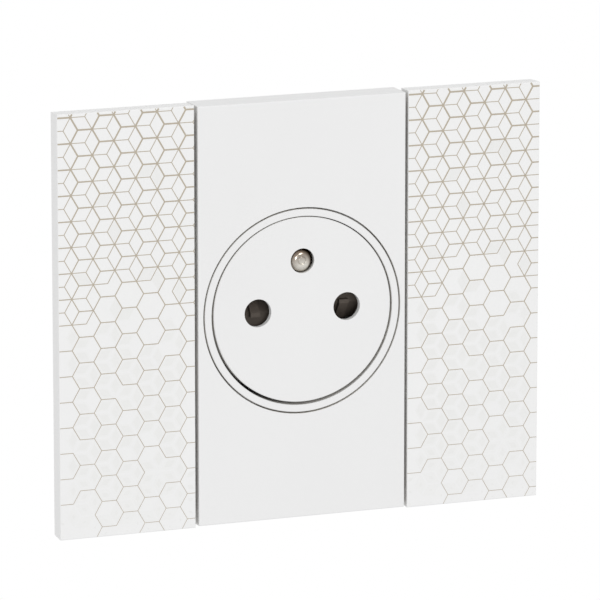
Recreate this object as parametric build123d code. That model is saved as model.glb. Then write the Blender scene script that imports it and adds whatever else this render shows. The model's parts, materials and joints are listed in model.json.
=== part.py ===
from build123d import *
from math import cos, radians, sin
import os

# Flush wall socket: a front disc that retracts into its well, in a plate of two side panels.
# Millimetres. X right, Y into the wall, Z up. The wall is Y = 0, the origin is midway between the box screws.

# Plug interface
PIN_SPACING = 19.0
PIN_HOLE = 5.7
EARTH_OFFSET = 10.0
EARTH_PIN = 4.8
EARTH_CLEAR = 0.12
EARTH_TIP_DEPTH = 0.15
DISC_TRAVEL = 15.0

# Well and ring
WELL_BORE = 38.6
WELL_DROP = 0.22
RING_WIDTH = 1.45
RING_CLEAR = 0.33
RING_BREAK = 0.12
DISC_CLEAR = 0.41
BODY_WALL = 1.55
BODY_CORNER = 2.4
FLANGE_CORNER = 2.0
STOP_CLEAR = 0.3

# Plate: side panels and centre cover
PANEL_WIDTH = 28.6
PANEL_HEIGHT = 86.0
PANEL_EDGE = 4.3
PANEL_DRAFT = 2.5
PANEL_WALL = 1.9
PANEL_GAP = 0.62
PLATE_STANDOFF = 6.5
SKIRT = 1.6
COVER_RIM = 1.04
COVER_SHORT = 0.3
COVER_PROUD = 0.2
COVER_WALL = 1.9
COVER_END_SKIRT = 1.5
COVER_SIDE_SKIRT = 1.0
EDGE_BREAK = 0.15
RIM_INSET = 3.0
RIM_WALL = 1.6
RIM_CORNER = 2.0
RAIL_DEPTH = 2.6
RAIL_HEIGHT = 4.0
RIB = 1.2
RIB_COUNT = 4
WALL_CLEAR = 0.2
PART_CLEAR = 0.35

# Support frame
BOX_SCREW_SPACING = 60.0
BOX_SLOT_LENGTH = 8.0
BOX_SLOT_WIDTH = 4.5
FRAME_WIDTH = 81.0
FRAME_HEIGHT = 71.0
FRAME_CORNER = 6.0
FRAME_SHEET = 1.5
WINDOW_CLEAR = 0.3
WINDOW_LIP = 3.0
WINDOW_LIP_WIDTH = 34.0
TAB_SPACING_X = 73.0
TAB_SPACING_Z = 34.0
TAB_WIDTH = 6.0
TAB_HEIGHT = 2.6
TAB_CLEAR = 0.1
LEG_WIDTH = 8.0
LEG_THICK = 1.4
LEG_OFFSET = 4.0
LEG_HOOK = 0.8
LEG_HOOK_LENGTH = 1.3
LEG_CLEAR = 0.3
SNAP = 0.9
SNAP_LENGTH = 2.6
SNAP_WIDTH = 6.0
SNAP_SPACING = 24.0
SEAT_CLEAR = 0.05

# Disc and shutter
DISC_WALL = 1.2
DISC_SKIRT = 1.5
BACKPLATE = 1.4
BACKPLATE_CLEAR = 0.1
PASSAGE_EXTRA = 0.6
LUG_WIDTH = 4.0
LUG_REACH = 1.5
LUG_LENGTH = 1.5
LUG_CLEAR = 0.3
PIVOT = 3.0
PIVOT_CLEAR = 0.1
SHUTTER_DEPTH = 5.0
SHUTTER_CLEAR = 0.3
HUB_WALL = 1.6
PAD_WIDTH = 7.2
PAD_STEP = 1.0
PAD_RAMP = 3.4
RAMP_RIB = 2.0
RAMP_TOP = 0.8
RAMP_START = 0.3
ARM_HEIGHT = 3.6
ARM_DEPTH = 2.4
STOP_WIDTH = 4.0
STOP_THICK = 1.2

# Springs
COIL_STEPS = 12
RETURN_RADIUS = 2.4
RETURN_WIRE = 0.6
RETURN_TURNS = 5
RETURN_STUB = 2.0
TORSION_WIRE = 0.4
TORSION_TURNS = 2
TORSION_PITCH = 0.6
TORSION_LAP = 1.2
TORSION_SEAT = 0.05
PEG = 1.4
PEG_OFFSET = 3.4

# Base, contacts and terminals
FLOOR = 2.0
BASE_WALL = 1.5
CONTACT_ROOM = 9.6
POCKET_WALL = 1.0
POCKET_CLEAR = 0.35
PARTITION = 1.0
SHEET = 0.7
CONTACT_WIDTH = 5.0
CONTACT_CLEAR = 0.3
BLADE_GAP = 4.3
BLADE_OPEN = 6.0
EARTH_FLANGE = 6.6
EARTH_FLANGE_THICK = 1.0
RIVET = 3.0
RIVET_CLEAR = 0.1
RIVET_PROUD = 0.4
TIP_FLAT = 1.8
TIP_DOME = 0.9
DOME_STEPS = 3
TERMINAL_WIDTH = 6.4
TERMINAL_HEIGHT = 6.4
TERMINAL_LENGTH = 6.4
TERMINAL_WIRE = 3.8
TERMINAL_EDGE = 0.4
TERMINAL_SCREW = 3.8
TERMINAL_SCREW_PROUD = 1.4
THREAD_CLEAR = 0.05
HEAD_CLEAR = 0.8
DRIVER_SLOT = 0.8
DRIVER_DEPTH = 0.8

# Rear cover and its screws
REAR_WALL = 2.0
REAR_KEY = 4.0
REAR_KEY_DEPTH = 1.5
WIRE_ENTRY = 4.0
HOUSING_SCREW = 2.2
HOUSING_SCREW_GRIP = 6.0
HOUSING_SCREW_INSET = 2.9
HOUSING_HEAD = 4.0
HOUSING_HEAD_THICK = 1.2
SCREW_POST = 5.8
SCREW_SIDES = 12

# Depths along Y
panel_front = -PLATE_STANDOFF
panel_back = panel_front + PANEL_EDGE
panel_inside = panel_front + PANEL_WALL
front = panel_front - COVER_PROUD
cover_inside = front + COVER_WALL
flange_front = cover_inside + PART_CLEAR
frame_front = -FRAME_SHEET
rail_front = -WALL_CLEAR - RAIL_DEPTH
disc_inside = front + DISC_WALL
shutter_front = disc_inside + SHUTTER_CLEAR
shutter_back = shutter_front + SHUTTER_DEPTH
plate_front = shutter_back + SHUTTER_CLEAR
disc_back = plate_front + BACKPLATE
lug_front = disc_back - LUG_LENGTH
floor_front = disc_back + DISC_TRAVEL + STOP_CLEAR
floor_back = floor_front + FLOOR
base_back = floor_back + CONTACT_ROOM
rear_back = base_back + REAR_WALL
pocket_end = base_back - POCKET_WALL - CONTACT_CLEAR

# Widths and radii
ring_radius = WELL_BORE / 2 + RING_WIDTH
opening_radius = ring_radius + RING_CLEAR
disc_radius = WELL_BORE / 2 - DISC_CLEAR
disc_inner_radius = disc_radius - DISC_SKIRT
earth_hole_radius = EARTH_PIN / 2 + EARTH_CLEAR
hub_radius = PIVOT / 2 + PIVOT_CLEAR + HUB_WALL
torsion_radius = hub_radius + TORSION_WIRE
pad_half = torsion_radius - TORSION_WIRE / 2 - TORSION_SEAT
cover_half = opening_radius + COVER_RIM
cover_half_height = PANEL_HEIGHT / 2 - COVER_SHORT
panel_inner = cover_half + PANEL_GAP
panel_x = panel_inner + PANEL_WIDTH / 2
plate_half = panel_inner + PANEL_WIDTH
rim_half = plate_half - RIM_INSET
rim_half_height = PANEL_HEIGHT / 2 - RIM_INSET
body_half = WELL_BORE / 2 + BODY_WALL
flange_half = panel_inner - PART_CLEAR
window_half = body_half + WINDOW_CLEAR
leg_z = flange_half + LEG_OFFSET
base_inner = body_half - BASE_WALL
screw_at = body_half - HOUSING_SCREW_INSET
pin_x = PIN_SPACING / 2
pocket_radius = RETURN_RADIUS + RETURN_WIRE / 2 + POCKET_CLEAR
terminal_z = base_inner - PART_CLEAR - TERMINAL_HEIGHT / 2
terminal_front = floor_back + EARTH_FLANGE_THICK + SHEET + PART_CLEAR
terminal_back = terminal_front + TERMINAL_LENGTH
screw_y = (terminal_front + terminal_back) / 2
SIDES = (-1, 1)
SCREW_CORNERS = (90, 270)
KEY_CORNERS = (0, 180)
LUG_ANGLES = (45, 135, 225, 315)
TERMINALS = {"live": (-pin_x, -1), "neutral": (pin_x, -1), "earth": (0, 1)}


def slab(sketch, y_front, y_back):
    """A front-view sketch, X right and Z up, extruded from one depth to another."""
    return extrude(Plane.XZ.offset(-y_front) * sketch, amount=y_front - y_back)


def block(x_range, y_range, z_range):
    """A box between two values on each axis."""
    sizes = [high - low for low, high in (x_range, y_range, z_range)]
    centre = [(low + high) / 2 for low, high in (x_range, y_range, z_range)]
    return Pos(*centre) * Box(*sizes)


def both_sides(half):
    """A span that is symmetric about zero."""
    return (-half, half)


def side_profile(sketch, x_low, x_high):
    """A side-view sketch, Y right and Z up, extruded along X."""
    return extrude(Plane.YZ.offset(x_low) * sketch, amount=x_high - x_low)


def turned(piece, degrees):
    """A piece turned about the disc's axis, anticlockwise in front view."""
    return Rot(0, -degrees, 0) * piece


def break_front(piece, size):
    """A piece with the edges of its foremost face chamfered."""
    return chamfer(piece.edges().group_by(Axis.Y)[0], size)


def screw_section(diameter):
    """The section of a screw, or of a hole round a rivet, in flats."""
    return RegularPolygon(diameter / 2, SCREW_SIDES)


def screw_bar(diameter, length):
    """A plain length of screw along Z, about the origin."""
    return extrude(screw_section(diameter), amount=length / 2, both=True)


def cropped(width, height, corner):
    """A rectangle with cropped corners."""
    return chamfer(Rectangle(width, height).vertices(), corner)


def body_outline():
    """The square outline that the housing, base and rear cover share."""
    return cropped(2 * body_half, 2 * body_half, BODY_CORNER)


def well_circle(radius):
    """A circle about the well's centre, which sits a little below the middle of the pins."""
    return Pos(0, -WELL_DROP) * Circle(radius)


def make_side_panel():
    """The right-hand side panel: a drafted tray with ribs and clip ribs inside."""
    outline = Pos(panel_x, 0) * Rectangle(PANEL_WIDTH, PANEL_HEIGHT)
    tray = extrude(Plane.XZ.offset(-panel_front) * outline, amount=-PANEL_EDGE, taper=PANEL_DRAFT)
    tray = break_front(tray, EDGE_BREAK)
    hollow = Pos(panel_x, 0) * Rectangle(PANEL_WIDTH - 2 * SKIRT, PANEL_HEIGHT - 2 * SKIRT)
    tray -= slab(hollow, panel_inside, panel_back)
    rib_span = (panel_inner + SKIRT / 2, rim_half - RIM_WALL / 2)
    for index in range(RIB_COUNT):
        rib_z = PANEL_HEIGHT * ((index + 1) / (RIB_COUNT + 1) - 0.5)
        tray += block(rib_span, (panel_inside, panel_back), (rib_z - RIB / 2, rib_z + RIB / 2))
    tab_half = FRAME_SHEET / 2 + TAB_CLEAR
    for side in SIDES:
        for grip in SIDES:
            grip_x = TAB_SPACING_X / 2 + grip * (tab_half + RIB / 2)
            tab_z = side * TAB_SPACING_Z / 2
            tray += block(
                (grip_x - RIB / 2, grip_x + RIB / 2),
                (panel_inside, panel_back),
                (tab_z - TAB_WIDTH / 2, tab_z + TAB_WIDTH / 2),
            )
    return tray


def make_decor_plate():
    """Both side panels, an inset rim that stands off the wall, and the rails behind the cover."""
    panel = make_side_panel()
    rim = cropped(2 * rim_half, 2 * rim_half_height, RIM_CORNER)
    rim -= Rectangle(2 * (rim_half - RIM_WALL), 2 * (rim_half_height - RIM_WALL))
    rim = slab(rim, panel_inside, -WALL_CLEAR)
    behind_cover = both_sides(panel_inner + SKIRT / 2)
    rim -= block(behind_cover, (panel_inside, rail_front), both_sides(PANEL_HEIGHT))
    plate = panel + mirror(panel, about=Plane.YZ) + rim
    rail_low = rim_half_height - RAIL_HEIGHT
    rail = block(both_sides(panel_inner + SKIRT), (rail_front, -WALL_CLEAR), (rail_low, rim_half_height))
    frame_room = block(
        both_sides(FRAME_WIDTH / 2 + PART_CLEAR),
        (frame_front - PART_CLEAR, 0),
        both_sides(FRAME_HEIGHT / 2 + PART_CLEAR),
    )
    return plate + rail + mirror(rail, about=Plane.XY) - frame_room


def make_cover_leg():
    """The upper clip leg of the cover, which hooks behind the support frame."""
    hook_front = SEAT_CLEAR
    hook_back = hook_front + LEG_HOOK_LENGTH
    profile = Polyline(
        (cover_inside - COVER_WALL / 2, leg_z - LEG_THICK),
        (hook_back, leg_z - LEG_THICK),
        (hook_back, leg_z),
        (hook_front, leg_z + LEG_HOOK),
        (hook_front, leg_z),
        (cover_inside - COVER_WALL / 2, leg_z),
        close=True,
    )
    return side_profile(make_face(profile), -LEG_WIDTH / 2, LEG_WIDTH / 2)


def make_centre_cover():
    """Centre plate with the round opening, deep end skirts and shallow side skirts."""
    cover = slab(Rectangle(2 * cover_half, 2 * cover_half_height), front, cover_inside)
    cover = break_front(cover, EDGE_BREAK)
    end_skirt = block(
        both_sides(cover_half),
        (cover_inside, -WALL_CLEAR),
        (cover_half_height - COVER_END_SKIRT, cover_half_height),
    )
    skirt_back = rail_front - PART_CLEAR
    side_skirt = block(
        (cover_half - COVER_SIDE_SKIRT, cover_half),
        (cover_inside, skirt_back),
        (flange_half + PART_CLEAR, cover_half_height),
    )
    side_skirts = side_skirt + mirror(side_skirt, about=Plane.YZ)
    upper = end_skirt + side_skirts + make_cover_leg()
    cover += upper + mirror(upper, about=Plane.XY)
    return cover - slab(well_circle(opening_radius), front, cover_inside)


def make_support_frame():
    """Stamped sheet with the window for the socket, box screw slots, clip slots and bent tabs."""
    sheet = cropped(FRAME_WIDTH, FRAME_HEIGHT, FRAME_CORNER)
    sheet -= Rectangle(2 * window_half, 2 * window_half)
    tabs = []
    for side in SIDES:
        sheet -= Pos(side * BOX_SCREW_SPACING / 2, 0) * SlotOverall(BOX_SLOT_LENGTH, BOX_SLOT_WIDTH)
        slot_height = LEG_THICK + LEG_HOOK + 2 * LEG_CLEAR
        slot_z = leg_z + LEG_CLEAR - slot_height / 2
        sheet -= Pos(0, side * slot_z) * Rectangle(LEG_WIDTH + 2 * LEG_CLEAR, slot_height)
        for end in SIDES:
            tab_x = side * TAB_SPACING_X / 2
            tab_z = end * TAB_SPACING_Z / 2
            lance_x = tab_x - side * (FRAME_SHEET + TAB_HEIGHT) / 2
            sheet -= Pos(lance_x, tab_z) * Rectangle(TAB_HEIGHT, TAB_WIDTH)
            tabs.append(
                block(
                    (tab_x - FRAME_SHEET / 2, tab_x + FRAME_SHEET / 2),
                    (frame_front - TAB_HEIGHT, 0),
                    (tab_z - TAB_WIDTH / 2, tab_z + TAB_WIDTH / 2),
                )
            )
    lip = block(
        both_sides(WINDOW_LIP_WIDTH / 2),
        (frame_front, WINDOW_LIP),
        (window_half, window_half + FRAME_SHEET),
    )
    return slab(sheet, frame_front, 0) + tabs + lip + mirror(lip, about=Plane.XY)


def make_snap():
    """A wedge on the housing's right side that locks behind the support frame."""
    wedge = Polyline(
        (body_half - BODY_WALL / 2, SEAT_CLEAR),
        (body_half + SNAP, SEAT_CLEAR),
        (body_half, SEAT_CLEAR + SNAP_LENGTH),
        (body_half - BODY_WALL / 2, SEAT_CLEAR + SNAP_LENGTH),
        close=True,
    )
    wedge = extrude(make_face(wedge), amount=SNAP_WIDTH / 2, both=True)
    return [Pos(0, 0, side * SNAP_SPACING / 2) * wedge for side in SIDES]


def make_well_housing():
    """Round well with its ring, a flange on the support frame, grooves for the disc's lugs."""
    flange = cropped(2 * flange_half, 2 * flange_half, FLANGE_CORNER)
    housing = slab(well_circle(ring_radius), front, flange_front)
    housing += slab(flange, flange_front, frame_front)
    housing += slab(body_outline(), frame_front, floor_front)
    snaps = make_snap()
    housing += snaps + [mirror(snap, about=Plane.YZ) for snap in snaps]
    housing -= slab(well_circle(WELL_BORE / 2), front, floor_front)
    housing = break_front(housing, RING_BREAK)
    groove = block(
        (0, disc_radius + LUG_REACH + LUG_CLEAR),
        (lug_front - SEAT_CLEAR, floor_front),
        both_sides(LUG_WIDTH / 2 + LUG_CLEAR),
    )
    housing -= [turned(groove, angle) for angle in LUG_ANGLES]
    pilot_front = floor_front - HOUSING_SCREW_GRIP - PART_CLEAR
    return housing - make_screw_holes(pilot_front, floor_front)


def make_screw_holes(y_front, y_back):
    """The holes for the two housing screws, between two depths."""
    hole = slab(Pos(screw_at, screw_at) * screw_section(HOUSING_SCREW + 2 * THREAD_CLEAR), y_front, y_back)
    return [turned(hole, angle) for angle in SCREW_CORNERS]


def make_retracting_disc():
    """The front disc: thin face, deep skirt with lugs, shutter stops, pivot post and spring peg."""
    disc = break_front(slab(Circle(disc_radius), front, disc_inside), EDGE_BREAK)
    disc += slab(Circle(disc_radius) - Circle(disc_inner_radius), disc_inside, disc_back)
    disc += slab(Circle(PIVOT / 2), disc_inside, disc_back + RETURN_STUB)
    lug = block(
        (disc_inner_radius + DISC_SKIRT / 2, disc_radius + LUG_REACH),
        (lug_front, disc_back),
        both_sides(LUG_WIDTH / 2),
    )
    disc += [turned(lug, angle) for angle in LUG_ANGLES]
    stop_top = -pad_half - SHUTTER_CLEAR
    stop = block(
        (pin_x - STOP_WIDTH / 2, pin_x + STOP_WIDTH / 2),
        (disc_inside, plate_front),
        (stop_top - STOP_THICK, stop_top),
    )
    disc += stop + turned(stop, 180)
    peg_top = -torsion_radius - TORSION_WIRE / 2 - TORSION_SEAT
    disc += block(
        (PEG_OFFSET - PEG / 2, PEG_OFFSET + PEG / 2),
        (disc_inside, shutter_back - ARM_DEPTH - SHUTTER_CLEAR),
        (peg_top - PEG, peg_top),
    )
    for side in SIDES:
        disc -= slab(Pos(side * pin_x, 0) * Circle(PIN_HOLE / 2), front, disc_inside)
    return disc - slab(Pos(0, EARTH_OFFSET) * Circle(earth_hole_radius), front, disc_inside)


def make_disc_backplate():
    """Plate that closes the disc behind the shutter and carries the return spring."""
    plate = slab(Circle(disc_inner_radius - BACKPLATE_CLEAR), plate_front, disc_back)
    plate -= slab(Circle(PIVOT / 2 + PIVOT_CLEAR), plate_front, disc_back)
    plate -= slab(Pos(0, EARTH_OFFSET) * Circle(earth_hole_radius), plate_front, disc_back)
    for side in SIDES:
        plate -= slab(Pos(side * pin_x, 0) * Circle((PIN_HOLE + PASSAGE_EXTRA) / 2), plate_front, disc_back)
    return plate


def make_shutter():
    """Two ramped pads on a hub: the left ramp falls upwards, the right one downwards."""
    pad = Polyline(
        (shutter_front + PAD_STEP, pad_half),
        (shutter_front + PAD_STEP, RAMP_START),
        (shutter_front + PAD_RAMP, -pad_half),
        (shutter_back, -pad_half),
        (shutter_back, pad_half),
        close=True,
    )
    rib = Polyline(
        (shutter_front, RAMP_START + RAMP_TOP),
        (shutter_front, RAMP_START),
        (shutter_front + PAD_RAMP - PAD_STEP / 2, -pad_half),
        (shutter_back, -pad_half),
        (shutter_back, RAMP_START + RAMP_TOP),
        close=True,
    )
    side = side_profile(make_face(pad), pin_x - PAD_WIDTH / 2, pin_x + PAD_WIDTH / 2)
    side += side_profile(make_face(rib), pin_x - RAMP_RIB / 2, pin_x + RAMP_RIB / 2)
    side += block((0, pin_x), (shutter_back - ARM_DEPTH, shutter_back), both_sides(ARM_HEIGHT / 2))
    hub = slab(Circle(hub_radius), shutter_front, shutter_back)
    shutter = side + turned(side, 180) + hub
    return shutter - slab(Circle(PIVOT / 2 + PIVOT_CLEAR), shutter_front, shutter_back)


def coil_points(radius, pitch, turns):
    """Points up a helix about Z, from its right-hand side."""
    steps = range(COIL_STEPS * turns + 1)
    angles = [radians(360 * step / COIL_STEPS) for step in steps]
    return [Vector(radius * cos(a), radius * sin(a), pitch * s / COIL_STEPS) for s, a in zip(steps, angles)]


def make_coil(points, wire, depth):
    """A square wire along a line of points, which starts at this depth and runs towards the front."""
    path = Plane.XZ.offset(-depth) * Polyline(*points)
    section = Plane(origin=path @ 0, z_dir=path % 0) * Rectangle(wire, wire)
    return sweep(section, path=path, transition=Transition.RIGHT)


def make_return_spring():
    """Compression spring round the pivot's end, from the back plate into its pocket in the base."""
    start = pocket_end - RETURN_WIRE
    height = start - disc_back - RETURN_WIRE
    return make_coil(coil_points(RETURN_RADIUS, height / RETURN_TURNS, RETURN_TURNS), RETURN_WIRE, start)


def make_shutter_spring():
    """Torsion spring round the hub: one leg under the left pad, the other on the disc's peg."""
    coil = coil_points(torsion_radius, TORSION_PITCH, TORSION_TURNS)
    pad_leg = pin_x - PAD_WIDTH / 2 + TORSION_LAP
    peg_leg = PEG_OFFSET + TORSION_LAP
    points = [coil[0] - Vector(0, pad_leg, 0), *coil, coil[-1] + Vector(0, peg_leg, 0)]
    depth = shutter_back - ARM_DEPTH - SHUTTER_CLEAR - TORSION_WIRE / 2
    return turned(make_coil(points, TORSION_WIRE, depth), -90)


def make_terminal_base():
    """Floor of the well, walls, partitions, spring pocket, screw posts and screwdriver notches."""
    base = slab(body_outline(), floor_front, floor_back)
    base += slab(body_outline() - Rectangle(2 * base_inner, 2 * base_inner), floor_back, base_back)
    room = (floor_back, base_back)
    beside_terminal = (pin_x + TERMINAL_WIDTH / 2 + PART_CLEAR, base_inner)
    post = block((base_inner - SCREW_POST, base_inner), room, beside_terminal)
    base += [turned(post, angle) for angle in SCREW_CORNERS]
    pocket_half = pocket_radius + POCKET_WALL
    base += slab(Rectangle(2 * pocket_half, 2 * pocket_half), floor_back, pocket_end + POCKET_WALL)
    across_z = BLADE_OPEN / 2 + SHEET + CONTACT_CLEAR
    wall_centre = body_half - BASE_WALL / 2
    base += block(both_sides(wall_centre), room, (across_z, across_z + PARTITION))
    base += block(both_sides(PARTITION / 2), room, (-wall_centre, POCKET_WALL / 2 - pocket_half))
    base -= slab(Circle(pocket_radius), floor_front, pocket_end)
    base -= slab(Pos(0, EARTH_OFFSET) * Circle(EARTH_PIN / 2 + THREAD_CLEAR), floor_front, floor_back)
    for side in SIDES:
        base -= slab(Pos(side * pin_x, 0) * Circle((PIN_HOLE + PASSAGE_EXTRA) / 2), floor_front, floor_back)
    notch_width = TERMINAL_SCREW + HEAD_CLEAR
    for x, side in TERMINALS.values():
        notch = Pos(x, side * body_half) * Rectangle(notch_width, 2 * BASE_WALL)
        base -= slab(notch, screw_y - notch_width / 2, base_back)
    return base - make_screw_holes(floor_front, base_back)


def make_rear_cover():
    """Back plate with two corner keys that fit inside the base, and the wire entries."""
    cover = slab(body_outline(), base_back, rear_back)
    key_at = base_inner - PART_CLEAR - REAR_KEY / 2
    key = slab(Pos(key_at, key_at) * Rectangle(REAR_KEY, REAR_KEY), base_back - REAR_KEY_DEPTH, base_back)
    cover += [turned(key, angle) for angle in KEY_CORNERS]
    for x, side in TERMINALS.values():
        cover -= slab(Pos(x, side * terminal_z) * Circle(WIRE_ENTRY / 2), base_back, rear_back)
    return cover - make_screw_holes(base_back, rear_back)


def make_contact(side):
    """Sheet contact: two sprung blades for a pin, and a foot on top of the terminal cage."""
    back = base_back - CONTACT_CLEAR - SHEET / 2
    tip = floor_back + CONTACT_CLEAR + SHEET / 2
    pinch = tip + (back - tip) / 4
    foot_z = -terminal_z + TERMINAL_HEIGHT / 2 + SHEET / 2
    grip = (BLADE_GAP + SHEET) / 2
    spread = (BLADE_OPEN + SHEET) / 2
    strip = Polyline(
        (terminal_front, foot_z),
        (back, foot_z),
        (back, spread),
        (pinch, grip),
        (tip, spread),
    )
    tongue = Polyline((back, -spread), (pinch, -grip), (tip, -spread))
    profile = trace(strip, SHEET) + trace(tongue, SHEET)
    x = side * pin_x
    return side_profile(profile, x - CONTACT_WIDTH / 2, x + CONTACT_WIDTH / 2)


def make_earth_pin():
    """Turned pin with a domed tip, a flange behind the floor and a riveted end."""
    tip = front + EARTH_TIP_DEPTH
    flat = TIP_FLAT / 2
    shank = EARTH_PIN / 2
    flange_back = floor_back + EARTH_FLANGE_THICK
    end = flange_back + SHEET + RIVET_PROUD
    dome_angles = [radians(90 * step / DOME_STEPS) for step in range(DOME_STEPS + 1)]
    dome = [(flat + (shank - flat) * sin(a), tip + TIP_DOME * (1 - cos(a))) for a in dome_angles]
    profile = Polyline(
        (0, tip),
        *dome,
        (shank, floor_back),
        (EARTH_FLANGE / 2, floor_back),
        (EARTH_FLANGE / 2, flange_back),
        (RIVET / 2, flange_back),
        (RIVET / 2, end),
        (0, end),
        close=True,
    )
    return Pos(0, 0, EARTH_OFFSET) * revolve(make_face(profile), axis=Axis.Y)


def make_earth_strap():
    """Bent strap from the riveted end of the earth pin to the underside of its terminal."""
    plate_y = floor_back + EARTH_FLANGE_THICK + SHEET / 2
    foot_z = terminal_z - TERMINAL_HEIGHT / 2 - SHEET / 2
    strip = Polyline(
        (plate_y, EARTH_OFFSET - CONTACT_WIDTH / 2),
        (plate_y, foot_z),
        (terminal_back, foot_z),
    )
    strap = side_profile(trace(strip, SHEET), -CONTACT_WIDTH / 2, CONTACT_WIDTH / 2)
    rivet_hole = Pos(0, EARTH_OFFSET) * screw_section(RIVET + 2 * RIVET_CLEAR)
    return strap - slab(rivet_hole, plate_y - SHEET, plate_y + SHEET)


def make_terminal(x, side):
    """Terminal cage: a block with a square wire passage along Y and a screw hole in its outer face."""
    z = side * terminal_z
    body = Pos(x, screw_y, z) * Box(TERMINAL_WIDTH, TERMINAL_LENGTH, TERMINAL_HEIGHT)
    body = chamfer(body.edges().filter_by(Axis.Y), TERMINAL_EDGE)
    body -= slab(Pos(x, z) * Rectangle(TERMINAL_WIRE, TERMINAL_WIRE), terminal_front, terminal_back)
    drill = screw_bar(TERMINAL_SCREW + 2 * THREAD_CLEAR, TERMINAL_HEIGHT / 2)
    return body - Pos(x, screw_y, z + side * TERMINAL_HEIGHT / 4) * drill


def cut_slot(screw, width, top):
    """A screw along Z with a driver slot across its top end."""
    return screw - Pos(0, 0, top - DRIVER_DEPTH / 2) * Box(2 * width, DRIVER_SLOT, DRIVER_DEPTH)


def make_terminal_screws():
    """One headless screw in the outer face of each terminal."""
    length = (TERMINAL_HEIGHT - TERMINAL_WIRE) / 2 + TERMINAL_SCREW_PROUD
    screw = cut_slot(screw_bar(TERMINAL_SCREW, length), TERMINAL_SCREW, length / 2)
    middle = terminal_z + TERMINAL_WIRE / 2 + length / 2
    placed = []
    for x, side in TERMINALS.values():
        facing = Rot(0, 0, 0) if side > 0 else Rot(180, 0, 0)
        placed.append(Pos(x, screw_y, side * middle) * facing * screw)
    return Compound(children=placed)


def make_housing_screws():
    """Two screws through the rear cover and base into the well housing."""
    length = rear_back - floor_front + HOUSING_SCREW_GRIP
    screw = Pos(0, 0, -length / 2) * screw_bar(HOUSING_SCREW, length)
    screw += Pos(0, 0, HOUSING_HEAD_THICK / 2) * screw_bar(HOUSING_HEAD, HOUSING_HEAD_THICK)
    screw = cut_slot(screw, HOUSING_HEAD, HOUSING_HEAD_THICK)
    screw = Pos(screw_at, rear_back, screw_at) * Rot(-90, 0, 0) * screw
    return Compound(children=[turned(screw, angle) for angle in SCREW_CORNERS])


def make_nodes():
    """Every piece by name."""
    nodes = {
        "decor_plate": make_decor_plate(),
        "centre_cover": make_centre_cover(),
        "support_frame": make_support_frame(),
        "well_housing": make_well_housing(),
        "retracting_disc": make_retracting_disc(),
        "disc_backplate": make_disc_backplate(),
        "shutter": make_shutter(),
        "shutter_spring": make_shutter_spring(),
        "return_spring": make_return_spring(),
        "terminal_base": make_terminal_base(),
        "rear_cover": make_rear_cover(),
        "live_contact": make_contact(-1),
        "neutral_contact": make_contact(1),
        "earth_pin": make_earth_pin(),
        "earth_strap": make_earth_strap(),
        "terminal_screws": make_terminal_screws(),
        "housing_screws": make_housing_screws(),
    }
    for pole, (x, side) in TERMINALS.items():
        nodes[f"{pole}_terminal"] = make_terminal(x, side)
    return nodes


os.makedirs("parts", exist_ok=True)
for name, piece in make_nodes().items():
    export_step(piece, f"parts/{name}.step")
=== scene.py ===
import bpy
import json
import random
from math import cos, exp, hypot, pi, radians, sin
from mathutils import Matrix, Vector


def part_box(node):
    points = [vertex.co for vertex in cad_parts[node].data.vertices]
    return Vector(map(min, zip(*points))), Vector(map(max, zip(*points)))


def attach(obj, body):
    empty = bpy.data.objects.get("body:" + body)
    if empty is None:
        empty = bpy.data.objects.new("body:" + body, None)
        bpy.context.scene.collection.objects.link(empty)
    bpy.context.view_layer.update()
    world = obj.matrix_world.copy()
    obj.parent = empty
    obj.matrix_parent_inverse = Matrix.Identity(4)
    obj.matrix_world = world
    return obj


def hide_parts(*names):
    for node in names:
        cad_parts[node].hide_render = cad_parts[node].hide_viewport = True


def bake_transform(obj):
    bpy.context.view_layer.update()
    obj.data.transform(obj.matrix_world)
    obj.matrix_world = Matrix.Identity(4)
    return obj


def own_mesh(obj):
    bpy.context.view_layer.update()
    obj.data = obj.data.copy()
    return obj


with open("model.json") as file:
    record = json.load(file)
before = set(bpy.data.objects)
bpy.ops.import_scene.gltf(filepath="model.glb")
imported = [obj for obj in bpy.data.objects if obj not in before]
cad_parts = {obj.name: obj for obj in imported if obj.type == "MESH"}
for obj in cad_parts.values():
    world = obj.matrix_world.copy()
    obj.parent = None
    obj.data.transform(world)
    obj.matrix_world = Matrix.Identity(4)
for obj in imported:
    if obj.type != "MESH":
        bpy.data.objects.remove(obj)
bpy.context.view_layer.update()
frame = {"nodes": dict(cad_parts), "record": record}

# Sizes and places are in millimetres and angles in degrees, and MM makes millimetres the frame's metres
MM = 0.001

# Panels and earth pin, from the frame where it has them
plate_low, plate_high = [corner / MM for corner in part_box("decor_plate")]
pin_low, pin_high = [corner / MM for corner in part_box("earth_pin")]
PANEL_WIDTH = 28.6
PANEL_HEIGHT = plate_high.z - plate_low.z
PANEL_SIZES = (PANEL_WIDTH, PANEL_HEIGHT)
PANEL_FRONT = plate_low.y
PANEL_BREAK = 0.12
PANEL_LEFT_EDGES = {"left": plate_low.x, "right": plate_high.x - PANEL_WIDTH}
EARTH_OFFSET = (pin_low.z + pin_high.z) / 2
PIN_TIP = pin_low.y

# Moulded edges
EDGE_WIDTH = 0.06
EDGE_SEGMENTS = 2
EDGE_ANGLE = 35
FLAT_ANGLE = 1
WELD_REACH = 0.002

# Printed pattern: flat-topped hexagons, split into blocks in the upper part
HEX_SIDE = 3.0
HEX_PERIOD = 5.2
COLUMN_PITCH = 1.5 * HEX_SIDE
COLUMNS = range(-2, 8)
ROWS = range(-2, 18)
FIRST_CENTRE = (5.77, 5.93)
PRINT_SHIFTS = {"left": (0, 0), "right": (0.25, 0.13)}

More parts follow.
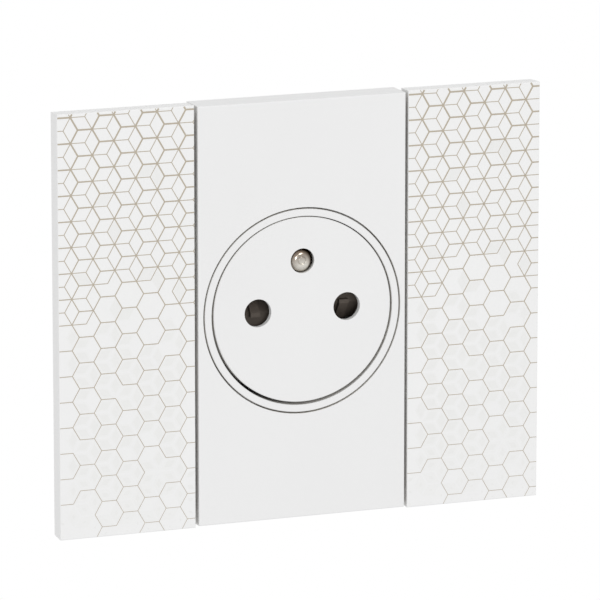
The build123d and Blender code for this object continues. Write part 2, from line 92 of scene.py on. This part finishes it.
# Corners of a hexagon from its centre, right and down
LEFT = (-HEX_SIDE, 0)
UPPER_LEFT = (-HEX_SIDE / 2, -HEX_PERIOD / 2)
UPPER_RIGHT = (HEX_SIDE / 2, -HEX_PERIOD / 2)
RIGHT = (HEX_SIDE, 0)
LOWER_RIGHT = (HEX_SIDE / 2, HEX_PERIOD / 2)
LOWER_LEFT = (-HEX_SIDE / 2, HEX_PERIOD / 2)
OUTLINE = ((LEFT, UPPER_LEFT), (UPPER_LEFT, UPPER_RIGHT), (UPPER_RIGHT, RIGHT))
SPLITS = (LEFT, UPPER_RIGHT, LOWER_RIGHT)
BLOCKS = (
    (UPPER_RIGHT, UPPER_LEFT, LEFT),
    (LOWER_RIGHT, RIGHT, UPPER_RIGHT),
    (LEFT, LOWER_LEFT, LOWER_RIGHT),
)

# Width of an outline at the top edge, how far down it falls to 1/e of that, and the width of a split
LINE_TOP = 0.33
LINE_FADE = 66.0
SPLIT_LINE = 0.15
# Smallest share of a line that is still printed where a panel's edge cuts it off
SHORTEST_SHARE = 0.001
# Thickness of the ink, with each direction of line a little above the one before, so that none coincide
LINE_PROUD = 0.02
LINE_LAYER = 0.003
TINT_PROUD = {"tint_pale": 0.01, "tint_grey": 0.013}
FILM_CORNERS = 4

# How far down each column is split, and the cells split in part, by column and whole millimetres down
SPLIT_DOWN_TO = {-2: 45, -1: 41, 0: 39, 1: 31, 2: 33, 3: 31, 4: 33, 5: 41, 6: 45, 7: 45}
PART_SPLITS = {
    (0, 42): (LEFT, UPPER_RIGHT),
    (1, 34): (LEFT, UPPER_RIGHT),
    (3, 34): (LEFT, UPPER_RIGHT),
    (4, 37): (UPPER_RIGHT, LOWER_RIGHT),
}
# Middles of the honeycomb edges that are left out, and of the blocks that are tinted
OPEN_EDGES = (
    (21.55, 48.8), (12.45, 56.6), (3.45, 67.1), (21.5, 72.3), (19.2, 73.6), (21.5, 74.9),
    (3.45, 74.9), (3.45, 80.1), (5.75, 81.4), (3.45, 82.75), (1.3, 84.1), (3.5, 85.2), (12.45, 85.4),
)
TINTED_BLOCKS = (
    (18.5, 12.4), (20.8, 13.7), (9.5, 17.5), (11.7, 23.8), (5.0, 32.8), (18.7, 33.0), (20.7, 34.7),
    (25.2, 37.2), (11.7, 39.7), (14.2, 41.2),
)
MARK_REACH = 0.8
# Below, most blocks are tinted: more of them further down, and more weakly towards the bottom edge
TINT_FROM = 40.0
TINT_RISE = 14.0
TINT_MOST = 0.92
TINT_FADE_FROM = 70.0
TINT_FADE = 18.0
TINT_SEED = 5
# A tinted block's pale field and the darker one within it, as shares of the block
TINT_SCALE = 0.84
TINT_CORE = 0.58
MARKED_CORE = 0.76

# Earth pin: the turned profile with a full dome and a turned ring on its tip
PIN_RADIUS = 2.4
TIP_RADIUS = 0.9
DOME_DEPTH = 0.9
RING_CUT = 0.08
FLANGE_RADIUS = pin_high.x
FLANGE_THICK = 1.0
RIVET_RADIUS = 1.5
RIVET_LENGTH = 1.1
PIN_SEGMENTS = 64
DOME_STEPS = 12
CRISP_ANGLE = 32

# Springs: round wire on the same line as the solids
WIRE_SEGMENTS = 12
TURN_STEPS = 36
RETURN_RADIUS = 2.4
RETURN_WIRE = 0.6
RETURN_TURNS = 5
RETURN_BACK = 26.5
RETURN_FRONT = 2.1
TORSION_RADIUS = 3.6
TORSION_WIRE = 0.4
TORSION_TURNS = 2
TORSION_PITCH = 0.6
TORSION_BACK = -3.1
TORSION_LEGS = (-7.1, 4.6)

# Noise and relief that the materials share, with the scale of any noise per metre
NOISE_LOW = 0.3
NOISE_HIGH = 0.7
NOISE_DETAIL = 3.0
GRAIN_DEPTH = 0.01

# Plastic, metal and ink
FLOW_SCALE = 45
FLOW_STRETCH = (1, 1, 0.4)
FLOW_SHADE = 0.985
GLOSS_SPREAD = 0.03
STREAK_SPREAD = 0.06
INK_SCALE = 700
INK_ROUGHNESS = 0.5

# Painted shade of narrow gaps: how near another surface counts, and how open a place is from darkest to
# plain
GAP_REACH = 1.0
GAP_OPEN = (0.2, 0.6)
GAP_SAMPLES = 6

# Earth pin's metal: pale round one spot with a painted dark reflection further off, painted shadow and dark
# reflection far from another spot, even behind the tip
PIN_AXIS = (0, 0, EARTH_OFFSET)
REFLECTION_CENTRE = (0.1, 0, EARTH_OFFSET - 1.7)
RIM_SHADOW_CENTRE = (-0.9, 0, EARTH_OFFSET - 0.4)
TIP_PLACE = (0, PIN_TIP, 0)
ROUND_AXIS = (1, 0, 1)
ALONG_AXIS = (0, 1, 0)
DARK_REFLECTION_REACH = (1.0, 3.5)
RIM_SHADOW_REACH = (2.2, 2.95)
SHANK_REACH = (1.0, 2.2)
PIN_EDGE_TINT = (0.32, 0.26, 0.2)
TURNING_SCALE = 5000
TURNING_SPREAD = 0.05
TURNING_DEPTH = 0.006
TURNING_RELIEF = 0.15

# Studio: an even sky and a pale floor that is clear towards its edge
WHITE = (1, 1, 1, 1)
SKY = 0.72
FLOOR_RADIUS = 620
FLOOR_CLEAR_FROM = 217
FLOOR_SIDES = 96
FLOOR_Z = -270
FLOOR_TONES = ((0.83, 0.83, 0.83), (0.85, 0.85, 0.85))
FLOOR_NOISE = 3
FLOOR_ROUGHNESS = 0.9
LEVEL = (1, 1, 0)

# Each lamp's name, degrees right of the part's front and above it, size and watts
LAMPS = (
    ("front_low", -5, 1, 300, 2.5),
    ("front_high", 14, 15, 300, 3.1),
    ("left", -72, 15, 800, 2.0),
    ("top", 0, 72, 800, 2.0),
)
LAMP_DISTANCE = 1600
ORIGIN = (0, 0, 0)

# Camera, placed as the lamps are, with its focal length in pixels of the picture
CAMERA_TARGET = (-0.49, -6.6, 2.0)
CAMERA_AZIMUTH = -20.9
CAMERA_ELEVATION = 12.38
CAMERA_DISTANCE = 1162
SENSOR = 36.0
PICTURE_PIXELS = 600
FOCAL_PIXELS = 5813


# Parts of a material
def new_material(name):
    """A material with its node tree, its shader and the object's own coordinates."""
    material = bpy.data.materials.new(name)
    material.use_nodes = True
    nodes = material.node_tree.nodes
    place = nodes.new("ShaderNodeTexCoord").outputs["Object"]
    return material, nodes, material.node_tree.links, nodes["Principled BSDF"], place


def add_noise(nodes, links, place, scale, stretch=(1, 1, 1)):
    """Noise, stretched along an axis where asked; returns its value."""
    mapping = nodes.new("ShaderNodeMapping")
    mapping.inputs["Scale"].default_value = stretch
    links.new(place, mapping.inputs["Vector"])
    noise = nodes.new("ShaderNodeTexNoise")
    noise.inputs["Scale"].default_value = scale
    noise.inputs["Detail"].default_value = NOISE_DETAIL
    links.new(mapping.outputs["Vector"], noise.inputs["Vector"])
    return noise.outputs["Fac"]


def add_ramp(nodes, links, value, low, high):
    """A colour between two, by a noise's value."""
    ramp = nodes.new("ShaderNodeValToRGB")
    stops = ramp.color_ramp.elements
    for stop, position, colour in zip(stops, (NOISE_LOW, NOISE_HIGH), (low, high)):
        stop.position = position
        stop.color = (*colour, 1)
    links.new(value, ramp.inputs["Fac"])
    return ramp.outputs["Color"]


def add_range(nodes, links, value, low, high, start=NOISE_LOW, end=NOISE_HIGH):
    """A number that goes from low to high as a value goes from start to end."""
    spread = nodes.new("ShaderNodeMapRange")
    spread.inputs["From Min"].default_value = start
    spread.inputs["From Max"].default_value = end
    spread.inputs["To Min"].default_value = low
    spread.inputs["To Max"].default_value = high
    links.new(value, spread.inputs["Value"])
    return spread.outputs["Result"]


def add_distance(nodes, links, place, centre, keep):
    """Distance in metres from a point in millimetres, along the axes that are kept."""
    value = place
    start = [part * MM for part in centre]
    for operation, operand in (("SUBTRACT", start), ("MULTIPLY", keep), ("LENGTH", None)):
        step = nodes.new("ShaderNodeVectorMath")
        step.operation = operation
        links.new(value, step.inputs[0])
        if operand:
            step.inputs[1].default_value = operand
        value = step.outputs["Value" if operation == "LENGTH" else "Vector"]
    return value


def add_bump(nodes, links, shader, height, depth, strength):
    """Fine relief of a real depth."""
    bump = nodes.new("ShaderNodeBump")
    bump.inputs["Strength"].default_value = strength
    bump.inputs["Distance"].default_value = depth * MM
    links.new(height, bump.inputs["Height"])
    links.new(bump.outputs["Normal"], shader.inputs["Normal"])


def paint_gap_shade(nodes, links, colour, shade):
    """Painted shade: a colour that goes over to a darker one where another surface is close, as in a narrow
    gap.
    """
    near = nodes.new("ShaderNodeAmbientOcclusion")
    near.inputs["Distance"].default_value = GAP_REACH * MM
    near.samples = GAP_SAMPLES
    mix = nodes.new("ShaderNodeMixRGB")
    mix.inputs["Color1"].default_value = (*shade, 1)
    links.new(add_range(nodes, links, near.outputs["AO"], 0, 1, *GAP_OPEN), mix.inputs["Fac"])
    links.new(colour, mix.inputs["Color2"])
    return mix.outputs["Color"]


# Materials
def plastic(name, colour, rough, grain=2600, relief=0.12, shine=0.5, painted_gap_shade=None):
    """Moulded plastic: slight flow in its colour, uneven gloss and a fine spark-eroded grain."""
    material, nodes, links, shader, place = new_material(name)
    shader.inputs["Specular IOR Level"].default_value = shine
    flow = add_noise(nodes, links, place, FLOW_SCALE, FLOW_STRETCH)
    low = [FLOW_SHADE * part for part in colour]
    tone = add_ramp(nodes, links, flow, low, colour)
    # Painted shade where another surface is close, as in the gaps between parts
    if painted_gap_shade:
        tone = paint_gap_shade(nodes, links, tone, painted_gap_shade)
    links.new(tone, shader.inputs["Base Color"])
    gloss = add_range(nodes, links, flow, rough - GLOSS_SPREAD, rough + GLOSS_SPREAD)
    links.new(gloss, shader.inputs["Roughness"])
    add_bump(nodes, links, shader, add_noise(nodes, links, place, grain), GRAIN_DEPTH, relief)
    return material


def metal(name, dark, light, rough, stretch=(1, 1, 1), scale=900, relief=0.1):
    """Metal with drawn or plated streaks along one axis."""
    material, nodes, links, shader, place = new_material(name)
    shader.inputs["Metallic"].default_value = 1.0
    streaks = add_noise(nodes, links, place, scale, stretch)
    links.new(add_ramp(nodes, links, streaks, dark, light), shader.inputs["Base Color"])
    gloss = add_range(nodes, links, streaks, rough - STREAK_SPREAD, rough + STREAK_SPREAD)
    links.new(gloss, shader.inputs["Roughness"])
    add_bump(nodes, links, shader, streaks, GRAIN_DEPTH, relief)
    return material


def turned_nickel(name, pale, reflected_dark, dark, shank, rough):
    """Plated pin, all turned: its tip pale round one spot with a painted dark reflection further off, a
    painted shadow and dark reflection on the far rim, its shank even.
    """
    material, nodes, links, shader, place = new_material(name)
    shader.inputs["Metallic"].default_value = 1.0
    shader.inputs["Specular Tint"].default_value = (*PIN_EDGE_TINT, 1)
    zones = (
        # Painted reflection: pale near one spot, going over to a dark reflection further off
        (REFLECTION_CENTRE, ROUND_AXIS, DARK_REFLECTION_REACH, reflected_dark),
        # Painted shadow and dark reflection on the far rim of the tip
        (RIM_SHADOW_CENTRE, ROUND_AXIS, RIM_SHADOW_REACH, dark),
        (TIP_PLACE, ALONG_AXIS, SHANK_REACH, shank),
    )
    colour = None
    for centre, keep, (near, far), other in zones:
        mix = nodes.new("ShaderNodeMixRGB")
        mix.inputs["Color1"].default_value = (*pale, 1)
        mix.inputs["Color2"].default_value = (*other, 1)
        away = add_distance(nodes, links, place, centre, keep)
        links.new(add_range(nodes, links, away, 0, 1, near * MM, far * MM), mix.inputs["Fac"])
        if colour:
            links.new(colour, mix.inputs["Color1"])
        colour = mix.outputs["Color"]
    links.new(colour, shader.inputs["Base Color"])
    marks = nodes.new("ShaderNodeTexNoise")
    marks.noise_dimensions = "1D"
    marks.inputs["Scale"].default_value = TURNING_SCALE
    links.new(add_distance(nodes, links, place, PIN_AXIS, ROUND_AXIS), marks.inputs["W"])
    gloss = add_range(nodes, links, marks.outputs["Fac"], rough - TURNING_SPREAD, rough + TURNING_SPREAD)
    links.new(gloss, shader.inputs["Roughness"])
    add_bump(nodes, links, shader, marks.outputs["Fac"], TURNING_DEPTH, TURNING_RELIEF)
    return material


def ink(name, dark, light):
    """Printed ink that takes a little unevenly."""
    material, nodes, links, shader, place = new_material(name)
    spread = add_noise(nodes, links, place, INK_SCALE)
    links.new(add_ramp(nodes, links, spread, dark, light), shader.inputs["Base Color"])
    shader.inputs["Roughness"].default_value = INK_ROUGHNESS
    return material


PLASTICS = {
    # The two white plastics darken to painted shade in the narrow gaps between parts
    "panel_plastic": dict(colour=(0.87, 0.87, 0.868), rough=0.42, painted_gap_shade=(0.5, 0.48, 0.44)),
    "cover_plastic": dict(colour=(0.845, 0.845, 0.845), rough=0.38, painted_gap_shade=(0.68, 0.66, 0.615)),
    "body_plastic": dict(colour=(0.74, 0.74, 0.73), rough=0.55, grain=1500, relief=0.25),
    "shutter_plastic": dict(colour=(0.085, 0.07, 0.058), rough=0.6, grain=1800, relief=0.3, shine=0.2),
}
METALS = {
    "zinc_steel": dict(dark=(0.55, 0.56, 0.57), light=(0.66, 0.67, 0.68), rough=0.37, scale=260),
    "spring_steel": dict(dark=(0.4, 0.4, 0.41), light=(0.5, 0.5, 0.5), rough=0.33),
    "contact_brass": dict(dark=(0.72, 0.54, 0.26), light=(0.82, 0.64, 0.33), rough=0.31, stretch=(1, 6, 1)),
    "screw_steel": dict(dark=(0.6, 0.6, 0.6), light=(0.7, 0.7, 0.7), rough=0.35),
}
MATERIALS = {
    **{name: plastic(name, **look) for name, look in PLASTICS.items()},
    **{name: metal(name, **look) for name, look in METALS.items()},
    "nickel": turned_nickel(
        "nickel",
        pale=(0.66, 0.63, 0.575),
        # Painted dark reflection on the tip
        reflected_dark=(0.19, 0.145, 0.11),
        # Painted shadow and dark reflection on the tip's far rim
        dark=(0.02, 0.012, 0.005),
        shank=(0.6, 0.565, 0.51),
        rough=0.15,
    ),
}
INKS = {
    "lines": ink("line_ink", dark=(0.45, 0.393, 0.308), light=(0.48, 0.423, 0.333)),
    "tint_pale": ink("tint_ink_pale", dark=(0.847, 0.847, 0.841), light=(0.855, 0.855, 0.85)),
    "tint_grey": ink("tint_ink_grey", dark=(0.825, 0.825, 0.815), light=(0.834, 0.834, 0.825)),
}

for entry in frame["record"]["subparts"]:
    for slot in frame["nodes"][entry["node"]].material_slots:
        slot.material = MATERIALS[entry["material_slot"]]


# Moulded edges
def soften_edges(node):
    """Rounded edges on a moulded piece, whose mesh is first welded into one skin."""
    piece = frame["nodes"][node]
    weld = piece.modifiers.new("one_skin", "WELD")
    weld.merge_threshold = WELD_REACH * MM
    flat = piece.modifiers.new("flat_faces", "DECIMATE")
    flat.decimate_type = "DISSOLVE"
    flat.angle_limit = radians(FLAT_ANGLE)
    bevel = piece.modifiers.new("soft_edges", "BEVEL")
    bevel.width = EDGE_WIDTH * MM
    bevel.segments = EDGE_SEGMENTS
    bevel.limit_method = "ANGLE"
    bevel.angle_limit = radians(EDGE_ANGLE)


for node in ("decor_plate", "centre_cover"):
    soften_edges(node)


# Meshes
def new_piece(name, points, faces, material, smooth=False):
    """A mesh object from points in millimetres."""
    mesh = bpy.data.meshes.new(name)
    mesh.from_pydata([Vector(point) * MM for point in points], [], faces)
    mesh.polygons.foreach_set("use_smooth", [smooth] * len(faces))
    mesh.materials.append(material)
    piece = bpy.data.objects.new(name, mesh)
    bpy.context.collection.objects.link(piece)
    return piece


def turn_angles(count):
    """Angles evenly spaced round one turn."""
    return [2 * pi * step / count for step in range(count)]


def ring_faces(rings, sides):
    """Faces of a closed skin over rings of points, anticlockwise as seen from the first ring's end."""
    faces = [tuple(range(sides))]
    for low in range(0, (rings - 1) * sides, sides):
        high = low + sides
        for step in range(sides):
            after = (step + 1) % sides
            faces.append((low + step, high + step, high + after, low + after))
    last = (rings - 1) * sides
    return faces + [tuple(reversed(range(last, last + sides)))]


# Printed pattern, with points across a panel from its left edge and down from its top
def near_any(point, marks):
    """Whether a point lies at one of these marks."""
    return any(hypot(point[0] - mark[0], point[1] - mark[1]) < MARK_REACH for mark in marks)


def moved(points, shift):
    """Points moved right and down by a shift."""
    return [(across + shift[0], down + shift[1]) for across, down in points]


def middle_of(points):
    """The middle of some points."""
    return [sum(parts) / len(points) for parts in zip(*points)]


def part_way(start, end, share):
    """The point that lies some share of the way from one point to another."""
    return [here + (there - here) * share for here, there in zip(start, end)]


def hexagon_centres():
    """Column and centre of each hexagon, with every other column half a hexagon higher."""
    for column in COLUMNS:
        across = FIRST_CENTRE[0] + COLUMN_PITCH * column
        for row in ROWS:
            yield column, (across, FIRST_CENTRE[1] + HEX_PERIOD * (row - 0.5 * (column % 2)))


def on_front(point):
    """Whether a point lies on a panel's flat front."""
    return all(PANEL_BREAK < part < size - PANEL_BREAK for part, size in zip(point, PANEL_SIZES))


def clip_line(start, end):
    """The ends of the part of a line on a panel's flat front, or None."""
    first, last = 0.0, 1.0
    for axis, size in enumerate(PANEL_SIZES):
        low, high = PANEL_BREAK, size - PANEL_BREAK
        step = end[axis] - start[axis]
        if step:
            near, far = sorted(((low - start[axis]) / step, (high - start[axis]) / step))
            first, last = max(first, near), min(last, far)
        elif not low < start[axis] < high:
            return None
    if last - first < SHORTEST_SHARE:
        return None
    return [part_way(start, end, share) for share in (first, last)]


def printed_lines():
    """Ends, width and layer of every line of the print."""
    for column, centre in hexagon_centres():
        for layer, corners in enumerate(OUTLINE, len(SPLITS)):
            ends = moved(corners, centre)
            middle = middle_of(ends)
            if not near_any(middle, OPEN_EDGES):
                yield ends, LINE_TOP * exp(-middle[1] / LINE_FADE), layer
        part_splits = PART_SPLITS.get((column, int(centre[1])), ())
        for corner in SPLITS if centre[1] < SPLIT_DOWN_TO[column] else part_splits:
            yield [centre, *moved([corner], centre)], SPLIT_LINE, SPLITS.index(corner)


def line_corners(start, end, width):
    """The four corners of a line of some width."""
    half = width / 2 / hypot(end[0] - start[0], end[1] - start[1])
    side = ((start[1] - end[1]) * half, (end[0] - start[0]) * half)
    other_side = (-side[0], -side[1])
    return moved([start, end], side) + moved([end, start], other_side)


def tinted_fields():
    """Kind and corners of every tinted block's pale field and of the darker field within it."""
    draw = random.Random(TINT_SEED)
    for _, centre in hexagon_centres():
        for corners in BLOCKS:
            ring = [centre, *moved(corners, centre)]
            middle = middle_of(ring)
            chance = min((middle[1] - TINT_FROM) / TINT_RISE, TINT_MOST)
            marked = near_any(middle, TINTED_BLOCKS)
            if draw.random() < chance or marked:
                fade = min(1, 1 - (middle[1] - TINT_FADE_FROM) / TINT_FADE)
                core = MARKED_CORE if marked else TINT_CORE * fade
                for kind, scale in (("tint_pale", TINT_SCALE), ("tint_grey", core)):
                    yield kind, [part_way(middle, point, scale) for point in ring]


def ink_film(side, corners, proud):
    """Points of a thin film of ink on a panel, its front ring first."""
    left_edge = PANEL_LEFT_EDGES[side]
    return [
        (left_edge + across, depth, plate_high.z - down)
        for depth in (PANEL_FRONT - proud, PANEL_FRONT)
        for across, down in corners
    ]


def add_print(side):
    """The lines and tints of one panel, each a thin closed film."""
    shift = PRINT_SHIFTS[side]
    films = {kind: [] for kind in INKS}
    for ends, width, layer in printed_lines():
        clipped = clip_line(*moved(ends, shift))
        if clipped:
            proud = LINE_PROUD + LINE_LAYER * layer
            films["lines"] += ink_film(side, line_corners(*clipped, width), proud)
    for kind, corners in tinted_fields():
        ring = moved(corners, shift)
        if all(on_front(point) for point in ring):
            films[kind] += ink_film(side, ring, TINT_PROUD[kind])
    for kind, points in films.items():
        faces = []
        for first in range(0, len(points), 2 * FILM_CORNERS):
            faces += [[first + point for point in face] for face in ring_faces(2, FILM_CORNERS)]
        piece = new_piece(f"print_{kind}_{side}", points, faces, INKS[kind])
        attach(piece, "socket")


for side in PANEL_LEFT_EDGES:
    add_print(side)


# Earth pin
def pin_profile():
    """Radius and depth of the pin's outline, from its tip to its riveted end."""
    yield TIP_RADIUS - 3 * RING_CUT, PIN_TIP
    yield TIP_RADIUS - 2 * RING_CUT, PIN_TIP + RING_CUT
    yield TIP_RADIUS - RING_CUT, PIN_TIP + RING_CUT
    for step in range(DOME_STEPS + 1):
        angle = pi / 2 * step / DOME_STEPS
        yield TIP_RADIUS + (PIN_RADIUS - TIP_RADIUS) * sin(angle), PIN_TIP + DOME_DEPTH * (1 - cos(angle))
    rivet_start = pin_high.y - RIVET_LENGTH
    yield PIN_RADIUS, rivet_start - FLANGE_THICK
    yield FLANGE_RADIUS, rivet_start - FLANGE_THICK
    yield FLANGE_RADIUS, rivet_start
    yield RIVET_RADIUS, rivet_start
    yield RIVET_RADIUS, pin_high.y


def turned_piece(name, profile, centre_z, material):
    """A closed lathe piece about an axis along Y, from its outline."""
    points = []
    for radius, depth in profile:
        for angle in turn_angles(PIN_SEGMENTS):
            points.append((radius * cos(angle), depth, centre_z + radius * sin(angle)))
    faces = ring_faces(len(profile), PIN_SEGMENTS)
    piece = new_piece(name, points, faces, material, smooth=True)
    split = piece.modifiers.new("crisp_edges", "EDGE_SPLIT")
    split.split_angle = radians(CRISP_ANGLE)
    return piece


earth_pin = turned_piece("earth_pin_turned", list(pin_profile()), EARTH_OFFSET, MATERIALS["nickel"])
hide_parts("earth_pin")
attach(earth_pin, "socket")


# Springs
def wire_piece(name, line, diameter, material):
    """A round wire along a line of points."""
    middles = [Vector(point) for point in line]
    points = []
    for index, middle in enumerate(middles):
        ahead = middles[min(index + 1, len(middles) - 1)] - middles[max(index - 1, 0)]
        across = ahead.cross(Vector((0, 1, 0))).normalized()
        over = across.cross(ahead).normalized()
        for angle in turn_angles(WIRE_SEGMENTS):
            points.append(middle + (across * cos(angle) + over * sin(angle)) * diameter / 2)
    return new_piece(name, points, ring_faces(len(middles), WIRE_SEGMENTS), material, smooth=True)


def coil_line(radius, start, pitch, turns, start_angle):
    """Points along a coil about Y, from its back end towards the front, anticlockwise in front view."""
    for step in range(turns * TURN_STEPS + 1):
        angle = start_angle + 2 * pi * step / TURN_STEPS
        yield (radius * cos(angle), start - pitch * step / TURN_STEPS, radius * sin(angle))


return_pitch = (RETURN_BACK - RETURN_FRONT) / RETURN_TURNS
return_line = coil_line(RETURN_RADIUS, RETURN_BACK, return_pitch, RETURN_TURNS, 0)
return_spring = wire_piece("return_spring_wire", return_line, RETURN_WIRE, MATERIALS["spring_steel"])
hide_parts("return_spring")
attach(return_spring, "socket")
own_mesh(return_spring)

torsion_front = TORSION_BACK - TORSION_TURNS * TORSION_PITCH
torsion_line = [
    (TORSION_LEGS[0], TORSION_BACK, -TORSION_RADIUS),
    *coil_line(TORSION_RADIUS, TORSION_BACK, TORSION_PITCH, TORSION_TURNS, -pi / 2),
    (TORSION_LEGS[1], torsion_front, -TORSION_RADIUS),
]
shutter_spring = wire_piece("shutter_spring_wire", torsion_line, TORSION_WIRE, MATERIALS["spring_steel"])
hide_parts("shutter_spring")
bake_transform(shutter_spring)


# Studio: white to the camera, plain grey light on the part
def white_to_camera(tree, lit, lit_output):
    """White as seen and mirrored, and the lit shader for the light that falls on things."""
    nodes, links = tree.nodes, tree.links
    path = nodes.new("ShaderNodeLightPath")
    seen = path.outputs["Is Camera Ray"]
    for ray in ("Is Glossy Ray", "Is Transmission Ray"):
        larger = nodes.new("ShaderNodeMath")
        larger.operation = "MAXIMUM"
        links.new(seen, larger.inputs[0])
        links.new(path.outputs[ray], larger.inputs[1])
        seen = larger.outputs["Value"]
    white = nodes.new("ShaderNodeBackground")
    white.inputs["Strength"].default_value = 1.0
    white.inputs["Color"].default_value = WHITE
    mix = nodes.new("ShaderNodeMixShader")
    links.new(seen, mix.inputs["Fac"])
    links.new(lit, mix.inputs[1])
    links.new(white.outputs["Background"], mix.inputs[2])
    links.new(mix.outputs["Shader"], lit_output)


def add_world():
    """An even sky."""
    world = bpy.data.worlds.new("studio")
    world.use_nodes = True
    bpy.context.scene.world = world
    tree = world.node_tree
    sky = tree.nodes["Background"]
    sky.inputs["Color"].default_value = WHITE
    sky.inputs["Strength"].default_value = SKY
    white_to_camera(tree, sky.outputs["Background"], tree.nodes["World Output"].inputs["Surface"])


def floor_paint():
    """Pale and matt, and clear towards the rim."""
    material, nodes, links, shader, place = new_material("floor")
    colour = add_ramp(nodes, links, add_noise(nodes, links, place, FLOOR_NOISE), *FLOOR_TONES)
    links.new(colour, shader.inputs["Base Color"])
    shader.inputs["Roughness"].default_value = FLOOR_ROUGHNESS
    from_middle = add_distance(nodes, links, place, ORIGIN, LEVEL)
    alpha = add_range(nodes, links, from_middle, 1, 0, FLOOR_CLEAR_FROM * MM, FLOOR_RADIUS * MM)
    links.new(alpha, shader.inputs["Alpha"])
    return material


def add_floor():
    """A round floor below the part."""
    angles = turn_angles(FLOOR_SIDES)
    points = [(FLOOR_RADIUS * cos(angle), FLOOR_RADIUS * sin(angle), FLOOR_Z) for angle in angles]
    floor = new_piece("floor", points, [tuple(range(FLOOR_SIDES))], floor_paint())


def face_part(data, target, azimuth, elevation, distance):
    """A lamp or camera that looks at a target, from degrees right of the part's front and above it."""
    across, up = radians(azimuth), radians(elevation)
    away = Vector((sin(across) * cos(up), -cos(across) * cos(up), sin(up)))
    placed = bpy.data.objects.new(data.name, data)
    placed.location = Vector(target) * MM + away * (distance * MM)
    placed.rotation_euler = (-away).to_track_quat("-Z", "Y").to_euler()
    bpy.context.collection.objects.link(placed)
    return placed


def add_lamps():
    """Soft square lamps in front, at the left and above."""
    for name, azimuth, elevation, size, power in LAMPS:
        lamp = bpy.data.lights.new(name, "AREA")
        lamp.size = size * MM
        lamp.energy = power
        face_part(lamp, ORIGIN, azimuth, elevation, LAMP_DISTANCE)


def add_camera():
    """The camera at the photograph's angle."""
    data = bpy.data.cameras.new("camera")
    data.sensor_width = SENSOR
    data.lens = FOCAL_PIXELS / PICTURE_PIXELS * SENSOR
    return face_part(data, CAMERA_TARGET, CAMERA_AZIMUTH, CAMERA_ELEVATION, CAMERA_DISTANCE)


add_world()
add_floor()
add_lamps()
bpy.context.scene.camera = add_camera()
bpy.context.scene.view_settings.view_transform = "Standard"
